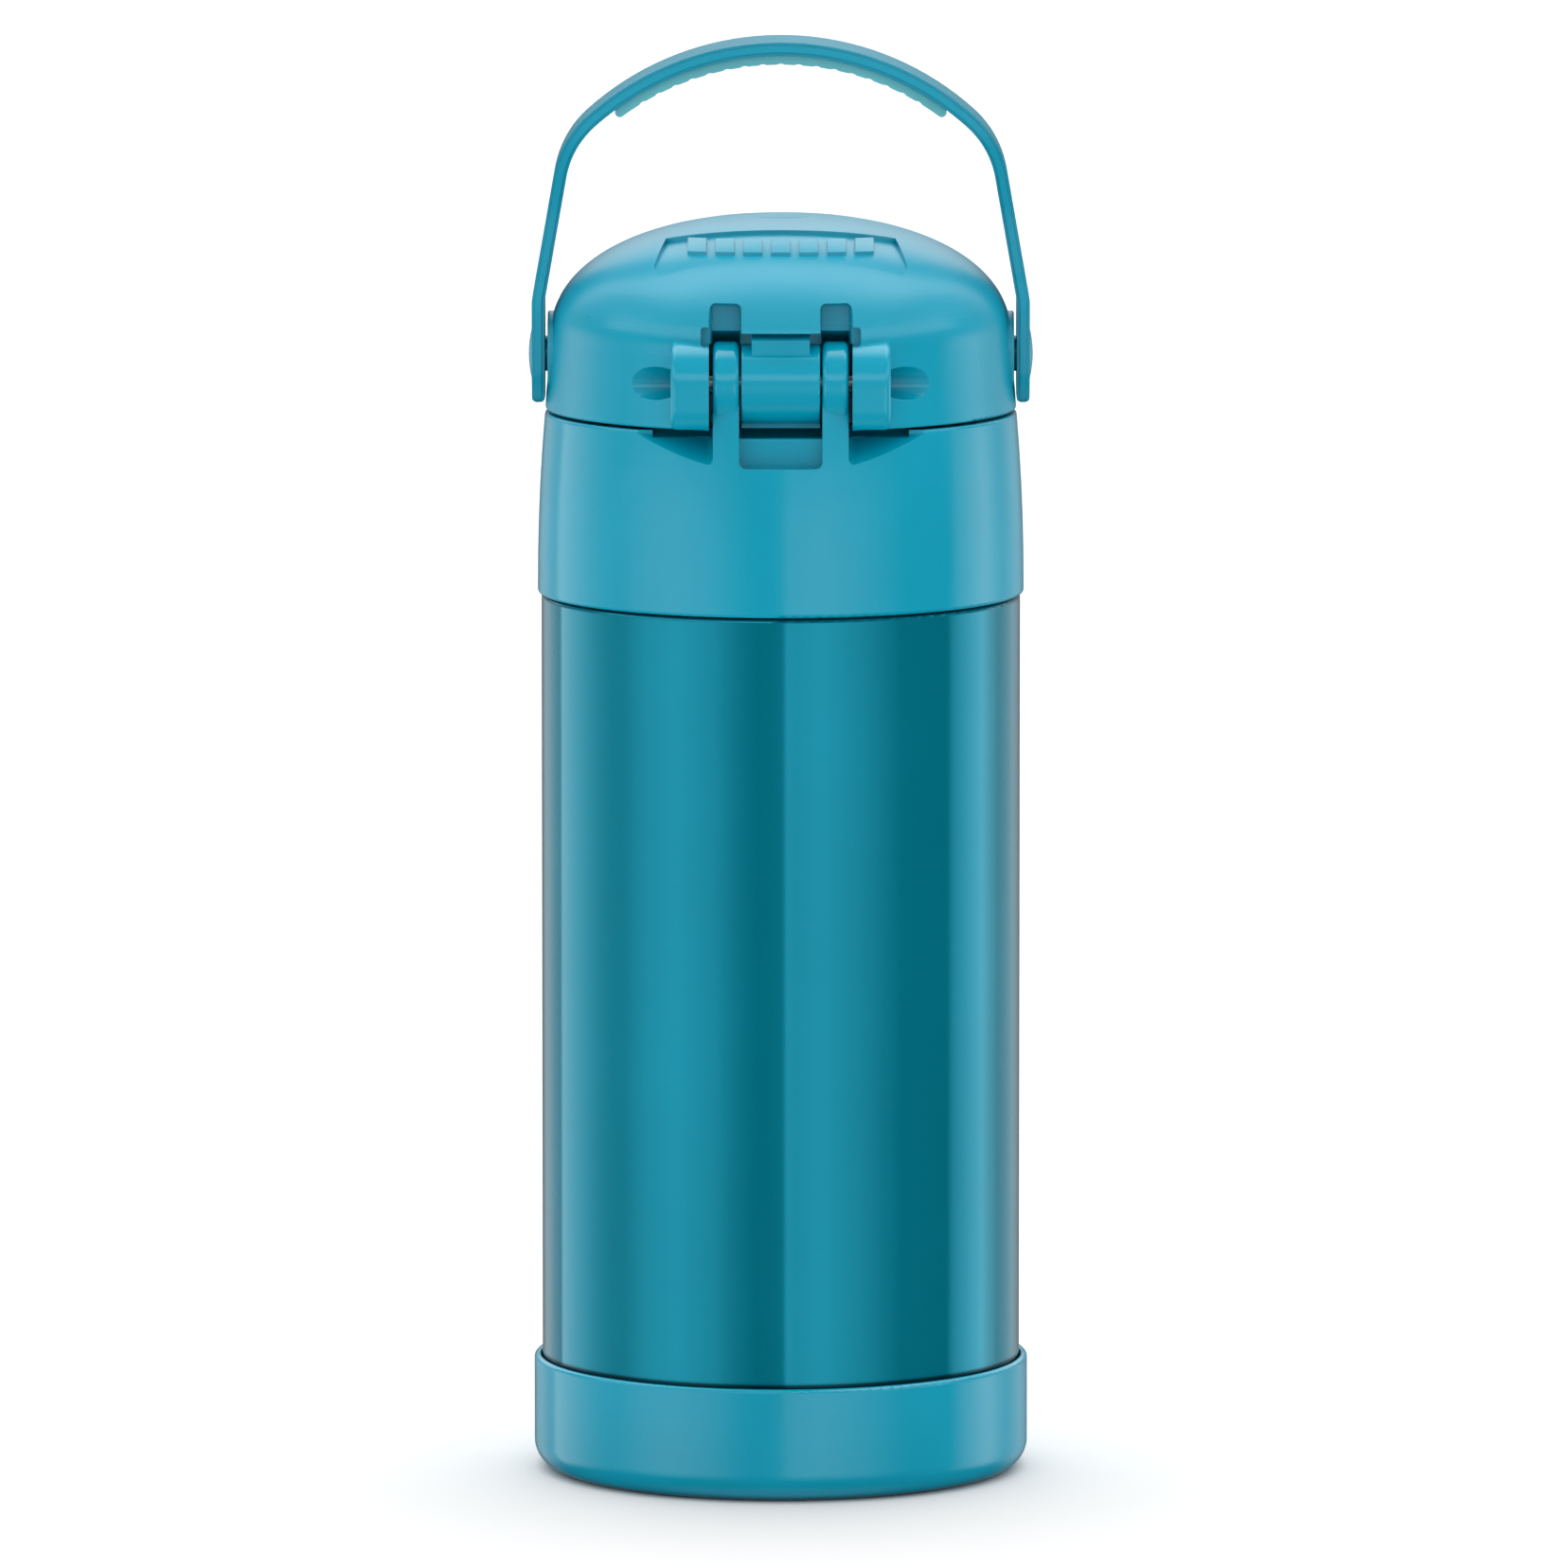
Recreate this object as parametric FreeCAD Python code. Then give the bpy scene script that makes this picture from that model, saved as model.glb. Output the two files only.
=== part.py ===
import FreeCAD, Part
import math
import os

# Vacuum-insulated drinking bottle with a screw-on lid, a hinged domed cover over an
# upright spout, a front push button and a carrying handle pivoted on the cover.
# Millimetres. +Z is up, the origin is the centre of the base where it rests, the lid's
# hinge is at the rear (-Y) and the push button is at the front (+Y).

Vector = FreeCAD.Vector
ORIGIN = Vector(0, 0, 0)
X_AXIS = Vector(1, 0, 0)
Y_AXIS = Vector(0, 1, 0)
Z_AXIS = Vector(0, 0, 1)

# Vessel
SHELL_R = 35.0
STEEL = 0.5
SHELL_FOOT = 2.6
SHOULDER_Z = 129.0
NECK_R = 27.0
NECK_FOOT = 133.5
RIM_Z = 148.0
LINER_R = 30.5
LINER_FLOOR = 7.5
LINER_SHOULDER = 124.0
MOUTH_R = 24.5
BASE_DISC_Z = 4.0
FOOT_R = 36.2
FOOT_TOP = 16.7
FOOT_FLOOR = 2.4
FOIL = 0.15

# Screw thread, four millimetres of rise for each turn
PITCH = 4.0
MALE_START = 137.0
MALE_TURNS = 1.5
MALE_CREST_R = 28.2
FEMALE_START = MALE_START - PITCH / 2
FEMALE_TURNS = 1.75
FEMALE_CREST_R = 27.5
SLEEVE_BORE_R = 28.8
SLEEVE_R = 30.4
SLEEVE_FOOT = 134.0

# Deck of the lid, with the spout and the air valve through it
DECK_LOW = 150.0
DECK_TOP = 152.0
DECK_R = 32.95
DECK_REAR_Y = -31.2
PLUG_R = 23.9
PLUG_WALL = 1.3
SPOUT_Y = 3.0
SPOUT_STEM_R = 5.2
SPOUT_TOP = 171.5
STRAW_R = 3.55
STRAW_BORE_R = 2.7
STRAW_FOOT = 12.5
VALVE_Y = -14.0
VALVE_R = 2.0

# Collar
COLLAR_LOW = 129.2
COLLAR_TOP = 155.75
COLLAR_LOW_R = 35.53
COLLAR_TOP_R = 34.43
COLLAR_BORE_R = 33.0
COLLAR_SIDE_CURVE = 290.0

# Cover hinge
HINGE_Y = -28.6
HINGE_Z = 162.6
HINGE_PIN_R = 1.5
EAR_IN = 6.0
EAR_OUT = 9.8
EAR_R = 6.1
LUG_IN = 10.35
LUG_OUT = 15.85
LUG_R = 6.4
LUG_FOOT_R = 3.2
BARREL_HALF = 5.7
BARREL_R = 5.8
SLOT_R = 6.7
SLOT_FLOOR_Y = -28.2
SLOT_TOP = 174.3
SLOT_CORNER = 0.8
HOUSING_HALF = 12.0
HOUSING_R = 8.2
CHANNEL_PAD_HALF = 22.5
SWEEP_R = 7.9
TAB_SWEEP_R = 8.1
POCKET_LOW = 150.75
POCKET_BACK_Y = -31.7
CHANNEL_R = 2.4

# Domed cover
COVER_LOW = 156.15
SKIRT_TOP = 166.65
SKIRT_LOW_R = 34.4
SKIRT_TOP_R = 33.6
DOME_TOP = 184.45
DOME_POWER = 2.2
COVER_WALL = 2.0
LINER_WALL = 1.2
LINER_GAP = 0.15
LINER_EDGE_R = 27.0

# Thumb panel at the rear of the dome
PANEL_DEPTH = 0.55
PANEL_NEAR_Y = -23.5
PANEL_HALF = 16.4
PANEL_CORNER_Y = -9.7
PANEL_MIDDLE_Y = -13.1
RIB_COUNT = 7
RIB_SPACING = 4.05
RIB_HALF = 1.35
RIB_FAR_R = 17.6
RIB_NEAR_R = 22.6
RIB_RISE = 0.5

# Handle, upright at rest
PIVOT_Z = 164.15
PIVOT_R = 2.6
PIVOT_HOLE_R = 2.68
BOSS_R = 6.25
BOSS_FACE_X = 34.0
ARM_IN = 34.4
BAND = 1.9
ARCH_R = 42.3
ARCH_Z = 167.87
ARCH_HALF_ANGLE = 42.0
CORNER_R = 15.0
ARM_LEAN = 10.0
TAIL_Z = 157.0
BEAD_INSET = 0.45
BEAD_RISE = 0.35
BAND_HALF_WIDTH = 7.5
ARM_HALF_WIDTH = 4.8
EYE_HALF_WIDTH = 5.6
PAD_CHORD_R = 3.9
PAD_RISE = 0.5
GRIP_HALF_ANGLE = 36.0
GRIP_THICK = 1.4
GRIP_HALF_WIDTH = 6.3
GRIP_SCALLOPS = 17

# Push button
BUTTON_HALF = 8.0
BUTTON_LOW = 134.1
BUTTON_TOP = 155.3
BUTTON_INNER_R = 33.4
BUTTON_GAP = 0.4
BUTTON_PIN_Y = 32.5
BUTTON_PIN_Z = 146.5
BUTTON_PIN_R = 0.9
BUTTON_PIN_HALF = 9.6
SPRING_Z = 137.6
SPRING_R = 2.2
SPRING_WIRE_R = 0.25
SPRING_TURNS = 3.5


def outline(points, place):
    """A closed wire through (u, v) points; a third number is that corner's radius."""
    corners = [Vector(point[0], point[1], 0) for point in points]
    spans = []
    for index, point in enumerate(points):
        corner = corners[index]
        if len(point) == 2:
            spans.append((corner, None, corner))
            continue
        back = (corners[index - 1] - corner).normalize()
        ahead = (corners[(index + 1) % len(points)] - corner).normalize()
        half = back.getAngle(ahead) / 2
        reach = point[2] / math.tan(half)
        depth = point[2] / math.sin(half) - point[2]
        middle = corner + (back + ahead).normalize() * depth
        spans.append((corner + back * reach, middle, corner + ahead * reach))
    edges = []
    for index, (start, middle, end) in enumerate(spans):
        if middle is not None:
            edges.append(Part.Arc(place(start), place(middle), place(end)).toShape())
        following = spans[(index + 1) % len(spans)][0]
        if end.distanceToPoint(following) > 1e-5:
            edges.append(Part.LineSegment(place(end), place(following)).toShape())
    return Part.Wire(edges)


def turned(points, y=0.0):
    """A solid of revolution about a vertical line at this y, from an (r, z) outline."""
    face = Part.Face(outline(points, lambda p: Vector(p.x, 0, p.y)))
    solid = face.revolve(ORIGIN, Z_AXIS, 360)
    solid.translate(Vector(0, y, 0))
    return solid


def prism_x(points, x_low, x_high):
    face = Part.Face(outline(points, lambda p: Vector(x_low, p.x, p.y)))
    return face.extrude(Vector(x_high - x_low, 0, 0))


def prism_y(points, y_low, y_high):
    face = Part.Face(outline(points, lambda p: Vector(p.x, y_low, p.y)))
    return face.extrude(Vector(0, y_high - y_low, 0))


def prism_z(points, z_low, z_high):
    face = Part.Face(outline(points, lambda p: Vector(p.x, p.y, z_low)))
    return face.extrude(Vector(0, 0, z_high - z_low))


def box(x_low, x_high, y_low, y_high, z_low, z_high):
    size = (x_high - x_low, y_high - y_low, z_high - z_low)
    return Part.makeBox(*size, Vector(x_low, y_low, z_low))


def rod_x(radius, x_low, x_high, y, z):
    return Part.makeCylinder(radius, x_high - x_low, Vector(x_low, y, z), X_AXIS)


def rod_z(radius, z_low, z_high, y=0.0):
    return Part.makeCylinder(radius, z_high - z_low, Vector(0, y, z_low), Z_AXIS)


def hinge_rod(radius, x_low, x_high):
    return rod_x(radius, x_low, x_high, HINGE_Y, HINGE_Z)


def both_sides(shape):
    """The shape and its mirror image across the plane x = 0."""
    return [shape, shape.mirror(ORIGIN, X_AXIS)]


def joined(first, *others):
    return first.multiFuse(list(others)).removeSplitter()


def softened(solid, radius, wanted):
    """The solid with a fillet on each edge whose middle the test accepts."""
    edges = [e for e in solid.Edges if wanted(e.CenterOfMass)]
    return solid.makeFillet(radius, edges)


def thread_ridge(start_z, turns, root_r, crest_r, root_half, crest_half):
    """One right-handed helical ridge with a flat crest."""
    path = Part.makeHelix(PITCH, PITCH * turns, root_r)
    path.translate(Vector(0, 0, start_z))
    corners = [
        Vector(root_r, 0, start_z - root_half),
        Vector(crest_r, 0, start_z - crest_half),
        Vector(crest_r, 0, start_z + crest_half),
        Vector(root_r, 0, start_z + root_half),
    ]
    profile = Part.makePolygon(corners + corners[:1])
    return Part.Wire(path.Edges).makePipeShell([profile], True, True)


# ---------------------------------------------------------------- vessel


def foot_boot():
    return turned([
        (0, 0.9),
        (24.5, 0.9, 0.8),
        (26.0, 0, 0.8),
        (FOOT_R, 0, 4.0),
        (FOOT_R, FOOT_TOP, 0.6),
        (SHELL_R + 0.3, FOOT_TOP, 0.25),
        (SHELL_R + 0.03, FOOT_TOP - 0.8),
        (SHELL_R + 0.03, FOOT_FLOOR, 0.6),
        (0, FOOT_FLOOR),
    ])


def outer_shell():
    wall = turned([
        (SHELL_R - STEEL, SHELL_FOOT),
        (SHELL_R, SHELL_FOOT),
        (SHELL_R, SHOULDER_Z, 0.55),
        (31.5, SHOULDER_Z, 1.5),
        (NECK_R, NECK_FOOT, 1.5),
        (NECK_R, RIM_Z, 0.3),
        (NECK_R - STEEL, RIM_Z),
        (NECK_R - STEEL, NECK_FOOT - 0.2, 2.0),
        (31.3, SHOULDER_Z - STEEL, 1.0),
        (SHELL_R - STEEL, SHOULDER_Z - STEEL),
    ])
    ridge = thread_ridge(MALE_START, MALE_TURNS, NECK_R - 0.25, MALE_CREST_R, 1.2, 0.5)
    return wall.fuse(ridge)


def inner_liner():
    inside = LINER_R - STEEL
    return turned([
        (0, LINER_FLOOR),
        (LINER_R, LINER_FLOOR, 8.0),
        (LINER_R, LINER_SHOULDER, 3.0),
        (MOUTH_R + STEEL, LINER_SHOULDER + 7.5, 3.0),
        (MOUTH_R + STEEL, RIM_Z - STEEL),
        (NECK_R - STEEL, RIM_Z - STEEL),
        (NECK_R - STEEL, RIM_Z),
        (MOUTH_R, RIM_Z, 0.4),
        (MOUTH_R, LINER_SHOULDER + 7.3, 3.5),
        (inside, LINER_SHOULDER - 0.2, 2.5),
        (inside, LINER_FLOOR + STEEL, 7.5),
        (0, LINER_FLOOR + STEEL),
    ])


def shell_base_disc():
    port_r = 1.2
    top = BASE_DISC_Z + 0.6
    edge_r = SHELL_R - STEEL
    return turned([
        (port_r, BASE_DISC_Z),
        (edge_r - STEEL, BASE_DISC_Z, 0.3),
        (edge_r - STEEL, SHELL_FOOT),
        (edge_r, SHELL_FOOT),
        (edge_r, top, 0.4),
        (port_r, top),
    ])


def vacuum_seal():
    return turned([(0, 3.1), (4.5, 3.1, 0.4), (4.5, BASE_DISC_Z), (0, BASE_DISC_Z)])


def getter_pellet():
    pellet = turned([(0, 4.6), (4.0, 4.6), (4.0, 6.2, 0.5), (0, 6.2)])
    pellet.translate(Vector(14, 0, 0))
    return pellet


def reflective_foil():
    wrap = rod_z(LINER_R + FOIL, 16, 120).cut(rod_z(LINER_R, 15, 121))
    seam = box(-0.4, 0.4, 0, 40, 15, 121)
    return wrap.cut(seam)


# ---------------------------------------------------------------- lid base


def lid_gasket():
    return turned([(24.3, 148.15, 0.4), (27.6, 148.15, 0.4), (27.6, 149.85, 0.4), (24.3, 149.85, 0.4)])


def screw_sleeve():
    body = turned([
        (0, DECK_LOW),
        (PLUG_R - PLUG_WALL, DECK_LOW),
        (PLUG_R - PLUG_WALL, 145.0),
        (PLUG_R, 145.0, 0.4),
        (PLUG_R, DECK_LOW),
        (SLEEVE_BORE_R, DECK_LOW),
        (SLEEVE_BORE_R, SLEEVE_FOOT, 0.4),
        (SLEEVE_R, SLEEVE_FOOT, 0.4),
        (SLEEVE_R, DECK_LOW),
        (DECK_R, DECK_LOW),
        (DECK_R, DECK_TOP),
        (0, DECK_TOP),
    ])
    body = body.cut(rod_z(SPOUT_STEM_R, DECK_LOW - 1, DECK_TOP + 1, SPOUT_Y))
    body = body.cut(rod_z(VALVE_R, DECK_LOW - 1, DECK_TOP + 1, VALVE_Y))
    body = body.cut(box(-40, 40, -40, DECK_REAR_Y, DECK_LOW - 0.01, DECK_TOP + 1))
    ridge = thread_ridge(FEMALE_START, FEMALE_TURNS, SLEEVE_BORE_R + 0.25, FEMALE_CREST_R, 1.1, 0.4)
    return body.fuse(ridge)


def mouthpiece():
    return turned([
        (STRAW_R, 143.5),
        (SPOUT_STEM_R - 0.7, 143.5, 0.3),
        (SPOUT_STEM_R, 148.6, 0.5),
        (6.4, 148.8, 0.4),
        (6.4, DECK_LOW, 0.3),
        (SPOUT_STEM_R, DECK_LOW),
        (SPOUT_STEM_R, DECK_TOP),
        (9.0, DECK_TOP),
        (9.0, DECK_TOP + 1.4, 0.6),
        (6.2, DECK_TOP + 1.6, 1.2),
        (4.7, 165.5, 6.0),
        (5.5, 169.3, 1.6),
        (4.9, SPOUT_TOP, 0.9),
        (2.4, SPOUT_TOP, 0.5),
        (2.4, DECK_LOW),
        (STRAW_R, DECK_LOW),
    ], SPOUT_Y)


def straw():
    tube = rod_z(STRAW_R, STRAW_FOOT, DECK_LOW, SPOUT_Y)
    tube = tube.cut(rod_z(STRAW_BORE_R, STRAW_FOOT - 1, DECK_LOW + 1, SPOUT_Y))
    slant = prism_x([(-10, 5), (10, 5), (10, 17), (-10, 10)], -10, 10)
    return tube.cut(slant)


def vent_valve():
    return turned([
        (0, 149.0),
        (1.4, 149.0, 0.4),
        (3.0, DECK_LOW - 0.1, 0.05),
        (3.0, DECK_LOW),
        (VALVE_R, DECK_LOW),
        (VALVE_R, DECK_TOP),
        (3.4, DECK_TOP),
        (3.4, DECK_TOP + 0.8, 0.4),
        (0, DECK_TOP + 0.8),
    ], VALVE_Y)


def collar_side(bore_r, top=COLLAR_TOP):
    """The collar's gently curved outer side as a ring of this bore, run on up to top."""
    middle = (COLLAR_LOW + COLLAR_TOP) / 2
    lean = (COLLAR_LOW_R - COLLAR_TOP_R) / (COLLAR_TOP - middle)
    return turned([
        (bore_r, COLLAR_LOW),
        (COLLAR_LOW_R, COLLAR_LOW, 0.5),
        (COLLAR_LOW_R, middle, COLLAR_SIDE_CURVE),
        (COLLAR_LOW_R - lean * (top - middle), top, 0.45),
        (bore_r, top),
    ])


def scoop():
    """Sloping-floored clearance in the collar under one outer lug."""
    inner_x = EAR_OUT

    def floor_z(x, y):
        return 151.4 + 0.06 * (x - inner_x) + 0.6 * (y + 32.8)

    plan = [(inner_x, -38), (24, -38), (24, -27.5), (inner_x, -27.5)]
    corners = [Vector(x, y, floor_z(x, y)) for x, y in plan]
    floor = Part.Face(Part.makePolygon(corners + corners[:1]))
    cut = floor.extrude(Vector(0, 0, 25))
    return softened(cut, 0.9, lambda c: abs(c.x - inner_x) < 0.01 and c.z < 155 and c.y > -36)


def ear():
    """A round eye on a stalk that is flush with the collar's side below it."""
    eye = softened(hinge_rod(EAR_R, EAR_IN, EAR_OUT), 0.8, lambda c: True)
    stalk = box(EAR_IN, EAR_OUT, -40, HINGE_Y + EAR_R, DECK_TOP + 0.02, HINGE_Z)
    return eye.fuse(stalk.common(collar_side(0, 175)))


def collar():
    solid_side = collar_side(0)
    flange = rod_z(33.1, DECK_TOP + 0.02, 153.6).cut(rod_z(31.0, 150, 155))

    rear = solid_side.common(box(-23, 23, -40, -24, 145, COLLAR_TOP))
    rear = rear.cut(rod_z(SLEEVE_R + 0.1, 120, DECK_LOW))
    rear = rear.cut(box(-40, 40, DECK_REAR_Y, 0, DECK_LOW - 0.02, DECK_TOP + 0.02))
    body = joined(collar_side(COLLAR_BORE_R), flange, rear)

    body = body.cut(hinge_rod(SWEEP_R, -18.5, 18.5))
    body = body.cut(hinge_rod(TAB_SWEEP_R, -EAR_IN, EAR_IN))
    plan = [(-EAR_IN, POCKET_LOW, 1.0), (EAR_IN, POCKET_LOW, 1.0), (EAR_IN, 160), (-EAR_IN, 160)]
    body = body.cut(prism_y(plan, -40, POCKET_BACK_Y))
    ledge = Vector(0, POCKET_BACK_Y, 155.1)
    body = softened(body, 0.4, lambda c: (c - ledge).Length < 0.6)
    for side_cut in both_sides(scoop()):
        body = body.cut(side_cut)

    body = joined(body, *both_sides(ear()))
    body = body.cut(hinge_rod(HINGE_PIN_R + 0.08, -20, 20))

    window = BUTTON_HALF + BUTTON_GAP
    body = body.cut(box(-window, window, 29, 40, BUTTON_LOW - 0.6, 160))
    body = body.cut(rod_x(BUTTON_PIN_R, -BUTTON_PIN_HALF, BUTTON_PIN_HALF, BUTTON_PIN_Y, BUTTON_PIN_Z))
    return body.removeSplitter()


# ---------------------------------------------------------------- cover


def dome_solid(inset, low=COVER_LOW, edge=0.0):
    """The solid inside the dome's outer surface, moved in by inset.

    The skirt leans in a little and the crown above it is a superellipse."""
    skirt_low = Vector(SKIRT_LOW_R - inset, 0, low)
    skirt_top = Vector(SKIRT_TOP_R - inset, 0, SKIRT_TOP)
    reach = SKIRT_TOP_R - inset
    rise = DOME_TOP - inset - SKIRT_TOP
    steps = 14
    points = []
    for step in range(steps + 1):
        angle = math.radians(90 * step / steps)
        r = reach * math.cos(angle) ** (2 / DOME_POWER)
        z = SKIRT_TOP + rise * math.sin(angle) ** (2 / DOME_POWER)
        points.append(Vector(r, 0, z))
    points[-1] = Vector(0, 0, SKIRT_TOP + rise)
    crown = Part.BSplineCurve()
    crown.interpolate(Points=points, InitialTangent=(skirt_top - skirt_low).normalize(),
                      FinalTangent=Vector(-1, 0, 0))
    centre_low = Vector(0, 0, low)
    edges = [Part.LineSegment(centre_low, skirt_low).toShape(),
             Part.LineSegment(skirt_low, skirt_top).toShape(),
             crown.toShape(),
             Part.LineSegment(points[-1], centre_low).toShape()]
    solid = Part.Face(Part.Wire(edges)).revolve(ORIGIN, Z_AXIS, 360)
    if edge:
        solid = softened(solid, edge, lambda c: abs(c.z - low) < 0.01)
    return solid


def thumb_panel(cover, outer):
    """A shallow recess at the rear of the crown with a row of low grip ribs in it."""
    sunk = outer.copy()
    tilt = math.degrees(PANEL_DEPTH / (PANEL_MIDDLE_Y - PANEL_NEAR_Y))
    sunk.rotate(Vector(0, PANEL_NEAR_Y, DOME_TOP - 4.0), X_AXIS, -tilt)
    arc_r = (PANEL_HALF ** 2 + (PANEL_CORNER_Y - PANEL_MIDDLE_Y) ** 2) / 2
    arc_r /= PANEL_CORNER_Y - PANEL_MIDDLE_Y
    plan = [(-PANEL_HALF, PANEL_CORNER_Y + 1.6, 0.8), (PANEL_HALF, PANEL_CORNER_Y + 1.6, 0.8),
            (18.3, -19.0, 1.0), (17.0, PANEL_NEAR_Y - 1), (-17.0, PANEL_NEAR_Y - 1), (-18.3, -19.0, 1.0)]
    frame = prism_z(plan, 170, 190).cut(rod_z(arc_r, 165, 195, PANEL_MIDDLE_Y + arc_r))
    cover = cover.cut(frame.cut(sunk))

    raised = sunk.copy()
    raised.translate(Vector(0, 0, RIB_RISE))
    band = rod_z(RIB_NEAR_R, 176, 190).cut(rod_z(RIB_FAR_R, 175, 191))
    band = band.common(raised).cut(dome_solid(COVER_WALL / 2))
    for index in range(RIB_COUNT):
        x = (index - (RIB_COUNT - 1) / 2) * RIB_SPACING
        cover = cover.fuse(band.common(box(x - RIB_HALF, x + RIB_HALF, -40, 0, 176, 190)))
    return cover


def hinge_housing(outer):
    """The blocks behind the dome's rear wall that the slots and pin channels are sunk into."""
    front = HINGE_Y + HOUSING_R
    profile = [(-38, COVER_LOW), (front, COVER_LOW), (front, HINGE_Z + 6.5, 4), (-24.0, 177.0), (-38, 177.0)]
    middle = prism_x(profile, -HOUSING_HALF, HOUSING_HALF)
    profile = [(-38, 158.5), (-26, 158.5), (-23.6, 160.5), (-23.6, 165.5), (-26, 168), (-38, 168)]
    wings = prism_x(profile, -CHANNEL_PAD_HALF, CHANNEL_PAD_HALF)
    return middle.fuse(wings).common(outer)


def ear_slot():
    """Clearance for one ear: open below, and a narrowing pocket above where the eye shows."""
    front = HINGE_Y + SLOT_R
    sweep = prism_x([(-40, 150), (front, 150), (front, HINGE_Z + 5.0, 5), (SLOT_FLOOR_Y, 170.2),
                     (SLOT_FLOOR_Y, 168.4), (-40, 168.4)], BARREL_HALF, LUG_IN)
    edge_y = SLOT_FLOOR_Y - 2.2
    upper = prism_z([(BARREL_HALF, -38), (LUG_IN, -38), (LUG_IN, edge_y), (EAR_OUT + 0.07, SLOT_FLOOR_Y),
                     (EAR_IN - 0.07, SLOT_FLOOR_Y), (BARREL_HALF, edge_y)], 168.3, SLOT_TOP)
    upper = softened(upper, SLOT_CORNER, lambda c: c.z > SLOT_TOP - 0.01 and c.y > -37)
    return sweep.fuse(upper)


def hinge_lug():
    """One outer lug: a round eye whose rear face runs straight down to the cover's edge."""
    rear = HINGE_Y - LUG_R
    foot = prism_x([(rear, HINGE_Z), (rear, COVER_LOW + 0.05, LUG_FOOT_R), (HINGE_Y, COVER_LOW + 0.05),
                    (HINGE_Y, HINGE_Z)], LUG_IN, LUG_OUT)
    lug = joined(hinge_rod(LUG_R, LUG_IN, LUG_OUT), foot)
    return softened(lug, 0.9, lambda c: c.x > LUG_OUT - 0.01 and c.y < HINGE_Y - 1)


def lid_cover():
    outer = dome_solid(0, edge=0.4)
    body = outer.cut(dome_solid(COVER_WALL, COVER_LOW - 1))
    body = body.fuse(hinge_housing(outer))
    body = thumb_panel(body, outer)

    notch_top = HINGE_Z + 7.6
    body = body.cut(box(-BARREL_HALF, BARREL_HALF, -40, HINGE_Y - 0.5, 150, notch_top))
    barrel = hinge_rod(BARREL_R, -BARREL_HALF, BARREL_HALF)
    barrel = softened(barrel, 0.3, lambda c: abs(c.x) > 5)
    tab = prism_x([(-32.3, HINGE_Z + 3), (-32.3, HINGE_Z + 6.7, 0.6), (-29.5, notch_top + 0.2),
                   (-26, notch_top + 0.2), (-26, HINGE_Z + 3)], -4.2, 4.2)
    boss = softened(rod_x(BOSS_R, 31.2, BOSS_FACE_X, 0, PIVOT_Z), 0.3, lambda c: c.x > BOSS_FACE_X - 0.1)
    body = joined(body, barrel, tab, *both_sides(hinge_lug()), *both_sides(boss))

    profile = [(LUG_IN - 0.2, 168.2), (11.55, 168.2, 0.5), (11.55, 170.9, 0.5), (LUG_IN - 0.2, 170.9)]
    side_notch = prism_y(profile, -36, -29.4)
    channel = hinge_rod(CHANNEL_R, LUG_OUT, 25)
    for cut in both_sides(ear_slot()) + both_sides(side_notch) + both_sides(channel):
        body = body.cut(cut)
    body = body.cut(hinge_rod(HINGE_PIN_R, -LUG_OUT - 1, LUG_OUT + 1))
    body = body.cut(rod_x(PIVOT_HOLE_R, -40, 40, 0, PIVOT_Z))

    catch = prism_x([(30.0, 152.6), (32.0, 152.6, 0.3), (32.0, 153.5), (31.2, 153.9), (31.2, 155.6),
                     (33.2, 156.6), (33.2, 158.0), (30.0, 158.0)], -4.5, 4.5)
    return joined(body, catch)


def cover_liner():
    inset = COVER_WALL + LINER_GAP
    shell = dome_solid(inset).cut(dome_solid(inset + LINER_WALL))
    shell = shell.common(rod_z(LINER_EDGE_R, 165, 200))
    holder = rod_z(7.5, 172.6, 190, SPOUT_Y).common(dome_solid(inset))
    body = shell.fuse(holder).cut(rod_z(5.0, 170, 176, SPOUT_Y))
    return body.cut(box(-40, 40, -40, -19.5, 150, 190)).removeSplitter()


def spout_seal():
    low = SPOUT_TOP + 0.35
    return turned([(0, low), (7.2, low, 0.35), (7.2, 172.6), (5.0, 172.6), (5.0, 176.0), (0, 176.0)], SPOUT_Y)


def hinge_pin():
    return softened(hinge_rod(HINGE_PIN_R, 0.3 - LUG_OUT, LUG_OUT - 0.3), 0.25, lambda c: True)


# ---------------------------------------------------------------- button


def latch_button():
    plate = collar_side(BUTTON_INNER_R)
    plate = plate.common(prism_y([(-BUTTON_HALF, BUTTON_LOW, 2.0), (BUTTON_HALF, BUTTON_LOW, 2.0),
                                  (BUTTON_HALF, BUTTON_TOP, 0.8), (-BUTTON_HALF, BUTTON_TOP, 0.8)], 20, 40))
    knuckle = rod_x(1.75, -6.5, 6.5, BUTTON_PIN_Y, BUTTON_PIN_Z)
    hook = prism_x([(34.0, 153.0), (33.3, 153.4), (32.75, 154.1), (32.75, 154.9), (34.0, BUTTON_TOP)],
                   -4.5, 4.5)
    spring_guide = Part.makeCylinder(1.5, 1.5, Vector(0, BUTTON_INNER_R - 1.0, SPRING_Z), Y_AXIS)
    body = joined(plate, knuckle, hook, spring_guide)
    return body.cut(rod_x(BUTTON_PIN_R + 0.08, -10, 10, BUTTON_PIN_Y, BUTTON_PIN_Z))


def button_pin():
    return rod_x(BUTTON_PIN_R, -BUTTON_PIN_HALF, BUTTON_PIN_HALF, BUTTON_PIN_Y, BUTTON_PIN_Z)


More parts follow.
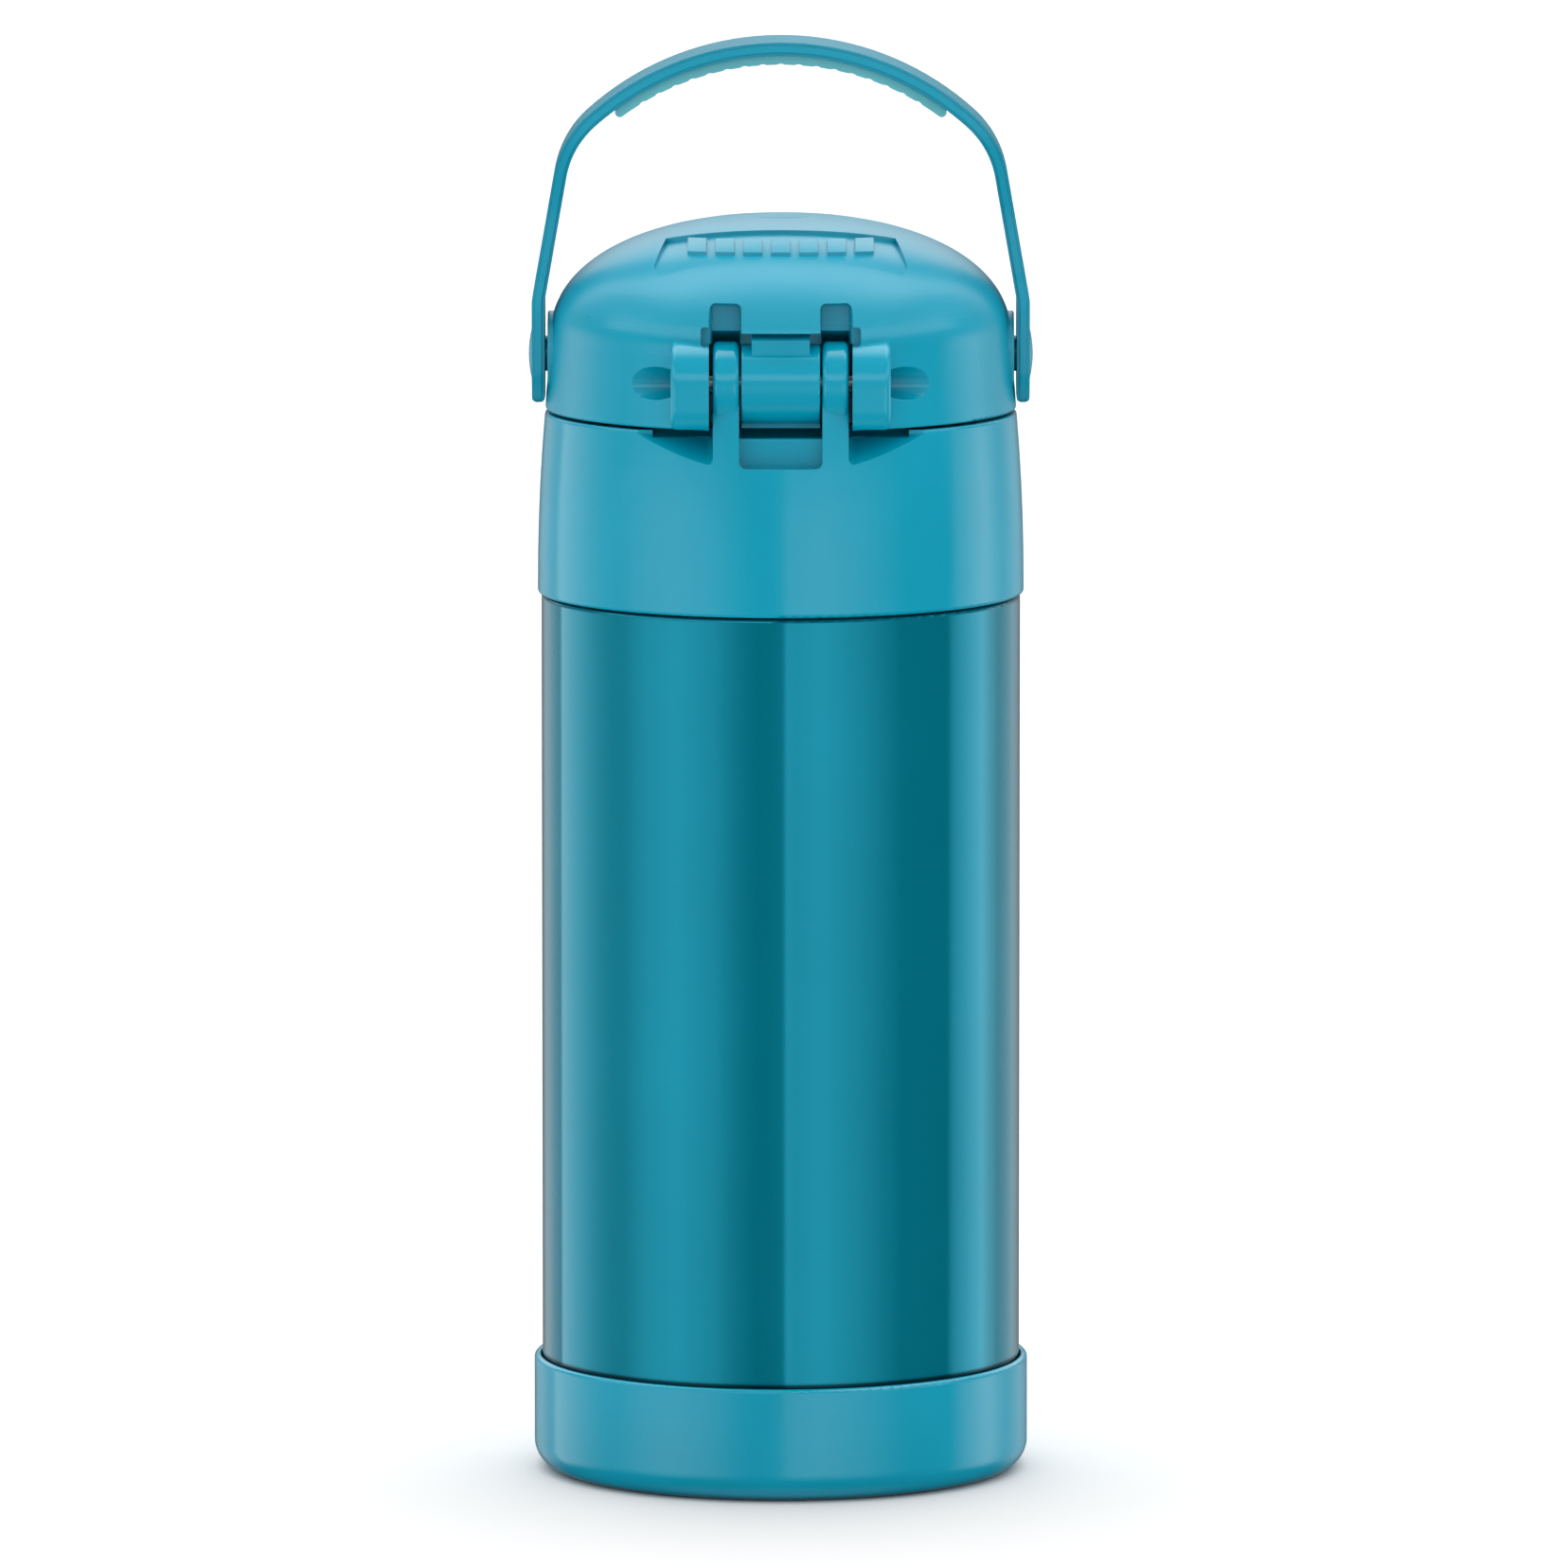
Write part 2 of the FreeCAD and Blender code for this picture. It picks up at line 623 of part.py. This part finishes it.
def button_spring():
    low = SLEEVE_R + 0.05 + SPRING_WIRE_R
    high = BUTTON_INNER_R - 0.1 - SPRING_WIRE_R
    path = Part.makeHelix((high - low) / SPRING_TURNS, high - low, SPRING_R)
    wire = Part.Wire(Part.makeCircle(SPRING_WIRE_R, Vector(SPRING_R, 0, 0), Y_AXIS))
    coil = Part.Wire(path.Edges).makePipeShell([wire], True, True)
    coil.rotate(ORIGIN, X_AXIS, -90)
    coil.translate(Vector(0, low, SPRING_Z))
    return coil


# ---------------------------------------------------------------- handle


def band_side(inset):
    """Corners of one side of the handle band, from its tail up to the crown's middle."""
    arch = math.radians(ARCH_HALF_ANGLE)
    lean = math.radians(90 - ARM_LEAN)
    between = (arch + lean) / 2
    arch_r = ARCH_R - inset
    corner_r = CORNER_R - inset
    spread = ARCH_R - CORNER_R
    reach = corner_r / math.cos((lean - arch) / 2)
    corner_x = spread * math.sin(arch) + reach * math.sin(between)
    corner_z = ARCH_Z + spread * math.cos(arch) + reach * math.cos(between)
    arm_x = ARM_IN + BAND - inset
    knee_z = corner_z - (arm_x - corner_x) / math.tan(math.radians(ARM_LEAN))
    peak_z = ARCH_Z + arch_r / math.cos(arch)
    return [(arm_x, knee_z, 4.0), (corner_x, corner_z, corner_r), (0, peak_z, arch_r)]


def band_solid(inset, narrow):
    """The handle's band, its faces moved in by inset and its edges by narrow."""
    outer = band_side(inset)
    inner = band_side(BAND - inset)
    arm_out, arm_in = ARM_IN + BAND - inset, ARM_IN + inset
    left_outer = [(-x, z, r) for x, z, r in reversed(outer[:-1])]
    left_inner = [(-x, z, r) for x, z, r in inner[:-1]]
    low = TAIL_Z + inset
    tail = BAND / 2 - inset - 0.01
    points = [(arm_out, low, tail)] + outer + left_outer
    points += [(-arm_out, low, tail), (-arm_in, low, tail)]
    points += left_inner + inner[::-1] + [(arm_in, low, tail)]
    band = prism_y(points, -BAND_HALF_WIDTH, BAND_HALF_WIDTH)
    eye, arm, top = EYE_HALF_WIDTH - narrow, ARM_HALF_WIDTH - narrow, BAND_HALF_WIDTH - narrow
    half = [(eye, TAIL_Z - 0.01, eye - 0.1), (eye, 170.5, 6), (arm, 176.0, 12), (arm, 184.0, 20),
            (top, 197.0, 20), (top, 215.0)]
    side_view = half + [(-corner[0],) + corner[1:] for corner in half[::-1]]
    return band.common(prism_x(side_view, -40, 40))


def carry_handle():
    body = band_solid(0, BEAD_RISE).fuse(band_solid(BEAD_INSET, 0))
    pad_face = ARM_IN + BAND
    pad_r = (PAD_CHORD_R ** 2 + PAD_RISE ** 2) / (2 * PAD_RISE)
    ball = Part.makeSphere(pad_r, Vector(pad_face + PAD_RISE - pad_r, 0, PIVOT_Z))
    pad = ball.common(rod_x(PAD_CHORD_R + 0.3, pad_face - 0.6, pad_face + 1, 0, PIVOT_Z))
    stub = rod_x(PIVOT_R, 30.6, ARM_IN + 0.5, 0, PIVOT_Z)
    barb = Part.makeCone(PIVOT_R - 0.5, PIVOT_R + 0.7, 1.0, Vector(29.7, 0, PIVOT_Z), X_AXIS)
    return joined(body, *both_sides(pad), *both_sides(stub), *both_sides(barb))


def handle_grip():
    outer_r = ARCH_R - BAND
    inner_r = outer_r - GRIP_THICK
    half = math.radians(GRIP_HALF_ANGLE)

    def at(radius, angle):
        return Vector(radius * math.sin(angle), -GRIP_HALF_WIDTH, ARCH_Z + radius * math.cos(angle))

    middle_r = outer_r - GRIP_THICK / 2
    edges = [
        Part.Arc(at(outer_r, -half), at(outer_r, 0), at(outer_r, half)).toShape(),
        Part.Arc(at(outer_r, half), at(middle_r, half + 0.02), at(inner_r, half)).toShape(),
        Part.Arc(at(inner_r, half), at(inner_r, 0), at(inner_r, -half)).toShape(),
        Part.Arc(at(inner_r, -half), at(middle_r, -half - 0.02), at(outer_r, -half)).toShape(),
    ]
    pad = Part.Face(Part.Wire(edges)).extrude(Vector(0, 2 * GRIP_HALF_WIDTH, 0))
    groove_r, groove_depth = 1.0, 0.16
    spread = 0.86 * half
    for index in range(GRIP_SCALLOPS):
        angle = spread * (2 * index / (GRIP_SCALLOPS - 1) - 1)
        foot = at(inner_r - groove_r + groove_depth, angle) - Vector(0, 1, 0)
        pad = pad.cut(Part.makeCylinder(groove_r, 2 * GRIP_HALF_WIDTH + 2, foot, Y_AXIS))
    return pad


NODES = [
    foot_boot, outer_shell, inner_liner, shell_base_disc, vacuum_seal, getter_pellet, reflective_foil,
    lid_gasket, screw_sleeve, collar, mouthpiece, straw, vent_valve, button_pin, button_spring,
    lid_cover, cover_liner, spout_seal, hinge_pin, latch_button, carry_handle, handle_grip,
]

os.makedirs("parts", exist_ok=True)
for build in NODES:
    shape = build()
    box_ = shape.BoundBox
    print("%-16s solids %d valid %s volume %.0f z %.2f..%.2f" % (
        build.__name__, len(shape.Solids), shape.isValid(), shape.Volume, box_.ZMin, box_.ZMax))
    shape.exportStep("parts/%s.step" % build.__name__)
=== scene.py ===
import math

import bpy
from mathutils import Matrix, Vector

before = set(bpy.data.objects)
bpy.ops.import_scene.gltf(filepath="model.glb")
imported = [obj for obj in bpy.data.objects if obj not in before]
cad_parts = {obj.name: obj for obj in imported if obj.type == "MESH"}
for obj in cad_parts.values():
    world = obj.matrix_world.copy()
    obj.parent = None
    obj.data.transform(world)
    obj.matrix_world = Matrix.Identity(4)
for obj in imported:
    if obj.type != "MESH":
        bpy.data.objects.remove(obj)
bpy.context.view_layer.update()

# Insulated drinking bottle. +Z is up, the lid's hinge is at -Y and its button at +Y.
# Metres, in the frame of the CAD model. A pair of limits says where a blend starts and ends.


# ---------------------------------------------------------------- node helpers


def new_material(name):
    material = bpy.data.materials.new(name)
    material.use_nodes = True
    return material


def add(tree, kind, sockets=None, **settings):
    """A node of this kind, with its settings and its named input sockets set."""
    node = tree.nodes.new(kind)
    for key, value in settings.items():
        setattr(node, key, value)
    for key, value in (sockets or {}).items():
        node.inputs[key].default_value = value
    return node


def object_point(tree, scale=(1, 1, 1)):
    """The surface point in the object's own metres, scaled along each axis."""
    place = add(tree, "ShaderNodeTexCoord")
    mapping = add(tree, "ShaderNodeMapping", {"Scale": scale})
    tree.links.new(place.outputs["Object"], mapping.inputs["Vector"])
    return mapping.outputs["Vector"]


def coordinates(tree):
    """The surface point's x, y and z in the object's own metres."""
    split = add(tree, "ShaderNodeSeparateXYZ")
    tree.links.new(object_point(tree), split.inputs["Vector"])
    return [split.outputs[name] for name in ("X", "Y", "Z")]


def noise(tree, scale, detail=2.0, stretch=(1, 1, 1)):
    texture = add(tree, "ShaderNodeTexNoise", {"Scale": scale, "Detail": detail})
    tree.links.new(object_point(tree, stretch), texture.inputs["Vector"])
    return texture.outputs["Fac"]


def ramp(tree, factor, low, high):
    """Maps the middle of a 0..1 factor to a colour between low and high."""
    node = add(tree, "ShaderNodeValToRGB")
    first, last = node.color_ramp.elements
    first.position, last.position = 0.3, 0.7
    first.color = (*low, 1)
    last.color = (*high, 1)
    tree.links.new(factor, node.inputs["Fac"])
    return node.outputs["Color"]


def graded(tree, factor, stops):
    """Maps a 0..1 factor to a grey level through (position, level) stops."""
    node = add(tree, "ShaderNodeValToRGB")
    elements = node.color_ramp.elements
    while len(elements) < len(stops):
        elements.new(0.5)
    for element, (position, _) in zip(elements, stops):
        element.position = position
    for element, (_, level) in zip(elements, stops):
        element.color = (*grey(level), 1)
    tree.links.new(factor, node.inputs["Fac"])
    return node.outputs["Color"]


def spread(tree, factor, low, high):
    """Maps a 0..1 factor to a number between low and high."""
    node = add(tree, "ShaderNodeMapRange", {"To Min": low, "To Max": high})
    tree.links.new(factor, node.inputs["Value"])
    return node.outputs["Result"]


def smooth_step(tree, value, limits):
    """0 on the first limit's side and 1 on the second's, with a soft blend between."""
    start, end = limits
    sockets = {"From Min": start, "From Max": end}
    node = add(tree, "ShaderNodeMapRange", sockets, interpolation_type="SMOOTHSTEP")
    tree.links.new(value, node.inputs["Value"])
    return node.outputs["Result"]


def bump(tree, height, depth, after=None):
    """A bump of this many metres, on top of another one if given."""
    node = add(tree, "ShaderNodeBump", {"Strength": 1.0, "Distance": depth})
    tree.links.new(height, node.inputs["Height"])
    if after is not None:
        tree.links.new(after, node.inputs["Normal"])
    return node.outputs["Normal"]


def math_node(tree, operation, first, second):
    """first and second are sockets or numbers."""
    node = add(tree, "ShaderNodeMath", operation=operation)
    for socket, value in zip(node.inputs, (first, second)):
        if isinstance(value, (int, float)):
            socket.default_value = value
        else:
            tree.links.new(value, socket)
    return node.outputs["Value"]


def product(tree, first, second):
    return math_node(tree, "MULTIPLY", first, second)


def mixed(tree, factor, first, second):
    """Blends two colours; each is a socket, a colour or a grey level."""
    node = add(tree, "ShaderNodeMix", data_type="RGBA")
    tree.links.new(factor, node.inputs["Factor"])
    for socket, value in ((node.inputs[6], first), (node.inputs[7], second)):
        if isinstance(value, (int, float)):
            value = grey(value)
        if isinstance(value, tuple):
            socket.default_value = (*value, 1)
        else:
            tree.links.new(value, socket)
    return node.outputs[2]


def grey(level):
    return (level, level, level)


def shade(color, tone):
    return tuple(channel * tone for channel in color)


# ---------------------------------------------------------------- materials

TEAL = (0.0, 0.285, 0.415)
LACQUER = (0.0, 0.225, 0.32)
# Painted shadow: the dark tone painted on the steel at the foot's edge and from the collar's lower edge
# upward.
SEAM_SHADOW = (0.0, 0.03, 0.045)
GRIP_TEAL = (0.10, 0.44, 0.50)
WHITE = (0.46, 0.48, 0.475)
SILICONE = (0.48, 0.53, 0.54)
STRAW = (0.62, 0.80, 0.84)
LINER_STEEL = (0.55, 0.55, 0.54)
WIRE_STEEL = (0.25, 0.27, 0.28)

EDGE_RADIUS = 0.0002
GRAIN_SIZE = 0.0003

# The foot's upper edge and the collar's lower edge, between which the steel body shows.
FOOT_TOP = max(corner[2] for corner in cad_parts["foot_boot"].bound_box)
COLLAR_LOW = min(corner[2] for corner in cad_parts["collar"].bound_box)
# Limits of the painted shadow on the steel: below the foot's edge, and above the collar's edge, so the
# whole neck and shoulder are painted dark too.
FOOT_SHADE_LIMITS = (FOOT_TOP + 0.0003, FOOT_TOP + 0.0008)
COLLAR_SHADE_LIMITS = (COLLAR_LOW - 0.0001, COLLAR_LOW - 0.0006)

# The cover's matt crown: everything above this height or far enough from the hinge.
CROWN_HEIGHT = (0.1695, 0.1725)
CROWN_FRONT = (-0.028, -0.010)
CROWN_ROUGHNESS = 0.17
CROWN_GRAIN_SCALE = 3500.0
CROWN_GRAIN_DEPTH = 0.000007


def moulded(name, color, rough, grain_size, grain_depth, **sockets):
    """Moulded plastic: fine tool grain, slight cloudiness of colour and gloss."""
    material = new_material(name)
    tree = material.node_tree
    shader = tree.nodes["Principled BSDF"]
    for key, value in sockets.items():
        shader.inputs[key.replace("_", " ")].default_value = value
    cloud = noise(tree, 45.0, 3.0)
    tint = ramp(tree, cloud, shade(color, 0.95), shade(color, 1.04))
    tree.links.new(tint, shader.inputs["Base Color"])
    tree.links.new(spread(tree, cloud, rough - 0.03, rough + 0.04), shader.inputs["Roughness"])
    grain = noise(tree, 1.0 / grain_size)
    rounded = add(tree, "ShaderNodeBevel", {"Radius": EDGE_RADIUS}, samples=4)
    normal = bump(tree, grain, grain_depth, rounded.outputs["Normal"])
    tree.links.new(normal, shader.inputs["Normal"])
    return material


def grained_cover():
    """The cover's plastic: a fine matt grain on the crown, smoother round the hinge."""
    material = moulded("grained_teal_cover", TEAL, 0.16, GRAIN_SIZE, 0.000002)
    tree = material.node_tree
    shader = tree.nodes["Principled BSDF"]
    y, z = coordinates(tree)[1:]
    high = smooth_step(tree, z, CROWN_HEIGHT)
    crown = math_node(tree, "MAXIMUM", high, smooth_step(tree, y, CROWN_FRONT))
    plain_rough = shader.inputs["Roughness"].links[0].from_socket
    rough = math_node(tree, "ADD", plain_rough, product(tree, crown, CROWN_ROUGHNESS))
    tree.links.new(rough, shader.inputs["Roughness"])
    grain = product(tree, noise(tree, CROWN_GRAIN_SCALE), crown)
    plain_normal = shader.inputs["Normal"].links[0].from_socket
    normal = bump(tree, grain, CROWN_GRAIN_DEPTH, plain_normal)
    tree.links.new(normal, shader.inputs["Normal"])
    return material


def lacquered_steel():
    """Clear teal lacquer over spun steel: part mirror, part haze, faint turning lines,
    with a painted shadow, a dark tone without coat, where it enters the foot and from the collar's lower
    edge upward."""
    material = new_material("lacquered_steel")
    tree = material.node_tree
    shader = tree.nodes["Principled BSDF"]
    shader.inputs["Metallic"].default_value = 0.5
    shader.inputs["Specular IOR Level"].default_value = 0.1
    shader.inputs["Coat IOR"].default_value = 1.25
    shader.inputs["Coat Roughness"].default_value = 0.03
    z = coordinates(tree)[2]
    # Painted shadow: outside these limits the steel takes the shadow tone and loses its coat.
    unshaded_body = product(tree, smooth_step(tree, z, FOOT_SHADE_LIMITS), smooth_step(tree, z, COLLAR_SHADE_LIMITS))
    tint = ramp(tree, noise(tree, 30.0), shade(LACQUER, 0.97), shade(LACQUER, 1.03))
    tree.links.new(mixed(tree, unshaded_body, SEAM_SHADOW, tint), shader.inputs["Base Color"])
    tree.links.new(product(tree, unshaded_body, 0.6), shader.inputs["Coat Weight"])
    turning = noise(tree, 1.0, stretch=(20, 20, 9000))
    tree.links.new(spread(tree, turning, 0.05, 0.1), shader.inputs["Roughness"])
    tree.links.new(bump(tree, turning, 0.000001), shader.inputs["Normal"])
    return material


def steel(name, color, rough, stretch):
    """Bare stainless steel with fine working lines along one direction."""
    material = new_material(name)
    tree = material.node_tree
    shader = tree.nodes["Principled BSDF"]
    shader.inputs["Metallic"].default_value = 1.0
    lines = noise(tree, 1.0, 3.0, stretch)
    tint = ramp(tree, lines, shade(color, 0.88), shade(color, 1.12))
    tree.links.new(tint, shader.inputs["Base Color"])
    tree.links.new(spread(tree, lines, rough, rough + 0.15), shader.inputs["Roughness"])
    tree.links.new(bump(tree, lines, 0.000006), shader.inputs["Normal"])
    return material


def assign(material, *nodes):
    """Gives these CAD nodes' objects this material in every slot."""
    for node in nodes:
        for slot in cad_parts[node].material_slots:
            slot.material = material


def dress_outside():
    assign(lacquered_steel(), "outer_shell")
    assign(grained_cover(), "lid_cover")
    collar = moulded("moulded_teal_collar", TEAL, 0.14, GRAIN_SIZE, 0.000001)
    assign(collar, "collar", "latch_button")
    assign(moulded("moulded_teal_foot", TEAL, 0.16, GRAIN_SIZE, 0.000002), "foot_boot")
    assign(moulded("moulded_teal_handle", TEAL, 0.2, GRAIN_SIZE, 0.000002), "carry_handle")
    grip = moulded("soft_grip", GRIP_TEAL, 0.45, 0.0004, 0.00001,
                   Subsurface_Weight=0.35, Subsurface_Scale=0.002)
    assign(grip, "handle_grip")


def dress_inside():
    white = moulded("white_inner_plastic", WHITE, 0.35, GRAIN_SIZE, 0.000008)
    assign(white, "screw_sleeve", "cover_liner")
    silicone = moulded("clear_silicone", SILICONE, 0.42, 0.0006, 0.00001,
                       Subsurface_Weight=0.5, Subsurface_Scale=0.003)
    assign(silicone, "mouthpiece", "lid_gasket", "vent_valve", "spout_seal")
    tube = moulded("straw_plastic", STRAW, 0.22, 0.0005, 0.000004, Transmission_Weight=0.6)
    assign(tube, "straw")
    liner = steel("brushed_steel_liner", LINER_STEEL, 0.24, (15, 15, 6000))
    assign(liner, "inner_liner", "shell_base_disc", "vacuum_seal", "getter_pellet", "reflective_foil")
    wire = steel("drawn_steel_wire", WIRE_STEEL, 0.2, (3000, 60, 60))
    assign(wire, "hinge_pin", "button_pin", "button_spring")


# ---------------------------------------------------------------- studio

# Brightness of the studio walls round the bottle: (degrees from the camera's side, level).
BANDS = [
    (-180, 0.15), (-168, 0.2), (-158, 0.55), (-150, 0.65), (-133.5, 0.45), (-131.5, 1.5),
    (-124, 1.4), (-112, 1.2), (-101, 0.8), (-90, 0.52), (-82, 0.5), (-67, 1.09), (-52, 1.35),
    (-33, 0.95), (-22, 0.4), (-12, 0.1), (-4, 0.14), (1.2, 0.22), (2.4, 1.25), (7, 1.1),
    (20, 1.3), (39.5, 0.8), (60, 0.12), (88, 0.05), (92.5, 0.8), (103, 1.4), (114, 1.8),
    (122, 1.0), (130, 0.5), (150, 0.65), (168, 0.2), (180, 0.15),
]
# Brightness of the soft panel behind and overhead: (height of the direction, level).
PANEL = [(0.1, 0.7), (0.2, 1.1), (0.3, 1.4), (0.5, 1.9), (0.7, 2.2), (0.86, 3.4), (1.0, 2.8)]

# Levels that reflections see outside the walls and the panel.
CEILING_LEVEL = 0.2
SOFTBOX_LEVEL = 1.5
LOW_LEVEL = 0.04
FLOOR_LEVEL = 0.3

# Levels of the even light on matt surfaces: from the sides and below, from above, from behind.
FILL_SIDES = 0.97
FILL_ABOVE = 1.9
FILL_BEHIND = 4.5

# Limits of each region, along one coordinate of the unit direction out into the studio.
CEILING_Z = (-0.03, 0.1)
SOFTBOX_LOWER_Z = (0.18, 0.3)
SOFTBOX_UPPER_Z = (0.58, 0.44)
SOFTBOX_Y = (0.3, 0.1)
LOW_Z = (-0.25, -0.5)
FLOOR_Z = (-0.8, -0.97)
PANEL_X = (0.71, 0.61)
PANEL_Y = (-0.3, 0.14)
PANEL_Z = (0.1, 0.24)
FILL_ABOVE_Z = (0.5, 1.0)
FILL_BEHIND_Y = (0.5, 0.8)
FILL_BEHIND_Z = (0.05, 0.2)


def wall_bands(tree, x, y):
    """The upright bright and dark bands, by the direction's angle round the bottle."""
    angle = math_node(tree, "ARCTAN2", x, product(tree, y, -1.0))
    around = add(tree, "ShaderNodeMapRange", {"From Min": -math.pi, "From Max": math.pi})
    tree.links.new(angle, around.inputs["Value"])
    stops = [((degrees + 180) / 360, level) for degrees, level in BANDS]
    return graded(tree, around.outputs["Result"], stops)


def reflected_studio(tree, x, y, z):
    """What glossy surfaces see: banded walls, a dim ceiling, a softbox, dark below the walls,
    a floor straight down, and a large soft panel behind and above."""
    walls = wall_bands(tree, x, y)
    studio = mixed(tree, smooth_step(tree, z, CEILING_Z), walls, CEILING_LEVEL)
    softbox = product(tree, smooth_step(tree, z, SOFTBOX_LOWER_Z), smooth_step(tree, z, SOFTBOX_UPPER_Z))
    softbox = product(tree, softbox, smooth_step(tree, y, SOFTBOX_Y))
    studio = mixed(tree, softbox, studio, SOFTBOX_LEVEL)
    studio = mixed(tree, smooth_step(tree, z, LOW_Z), studio, LOW_LEVEL)
    studio = mixed(tree, smooth_step(tree, z, FLOOR_Z), studio, FLOOR_LEVEL)
    beside = math_node(tree, "ABSOLUTE", x, 0.0)
    panel = product(tree, smooth_step(tree, beside, PANEL_X), smooth_step(tree, y, PANEL_Y))
    panel = product(tree, panel, smooth_step(tree, z, PANEL_Z))
    return mixed(tree, panel, studio, graded(tree, z, PANEL))


def matt_fill(tree, y, z):
    """What matt surfaces are lit by: an even fill, brighter from above and behind."""
    fill = mixed(tree, smooth_step(tree, z, FILL_ABOVE_Z), FILL_SIDES, FILL_ABOVE)
    behind = product(tree, smooth_step(tree, y, FILL_BEHIND_Y), smooth_step(tree, z, FILL_BEHIND_Z))
    return mixed(tree, behind, fill, FILL_BEHIND)


def studio_world():
    """The studio round the bottle, white where the camera sees past it."""
    world = bpy.data.worlds.new("studio")
    world.use_nodes = True
    bpy.context.scene.world = world
    tree = world.node_tree
    place = add(tree, "ShaderNodeTexCoord")
    split = add(tree, "ShaderNodeSeparateXYZ")
    tree.links.new(place.outputs["Generated"], split.inputs["Vector"])
    x, y, z = (split.outputs[name] for name in ("X", "Y", "Z"))
    path = add(tree, "ShaderNodeLightPath")
    reflected = reflected_studio(tree, x, y, z)
    lit = mixed(tree, path.outputs["Is Diffuse Ray"], reflected, matt_fill(tree, y, z))
    seen = mixed(tree, path.outputs["Is Camera Ray"], lit, 1.0)
    tree.links.new(seen, tree.nodes["Background"].inputs["Color"])


FLOOR_SIZE = 6.0
FLOOR_GAP = 0.0001
FLOOR_GREY = 0.68


def floor():
    """A plain pale floor that the bottle's own shadow falls on."""
    bpy.ops.mesh.primitive_plane_add(size=FLOOR_SIZE, location=(0, 0, -FLOOR_GAP))
    plane = bpy.context.object
    plane.name = "floor"
    plane.visible_glossy = False
    material = new_material("pale_floor")
    shader = material.node_tree.nodes["Principled BSDF"]
    shader.inputs["Base Color"].default_value = (*grey(FLOOR_GREY), 1)
    shader.inputs["Roughness"].default_value = 0.9
    shader.inputs["Specular IOR Level"].default_value = 0.0
    plane.data.materials.append(material)


CAMERA_PITCH = math.radians(7.1)
CAMERA_DISTANCE = 2.5515
CAMERA_AIM = Vector((0.00047, 0, 0.10076))


def camera():
    """A long lens on the lid's hinge side, seven degrees above the horizon."""
    toward = Vector((0, math.cos(CAMERA_PITCH), -math.sin(CAMERA_PITCH)))
    data = bpy.data.cameras.new("camera")
    data.lens = 400
    data.sensor_width = 36
    data.clip_end = 50
    eye = bpy.data.objects.new("camera", data)
    eye.location = CAMERA_AIM - toward * CAMERA_DISTANCE
    eye.rotation_euler = toward.to_track_quat("-Z", "Y").to_euler()
    bpy.context.scene.collection.objects.link(eye)
    bpy.context.scene.camera = eye


bpy.context.scene.view_settings.view_transform = "Standard"
camera()
studio_world()
floor()
dress_outside()
dress_inside()
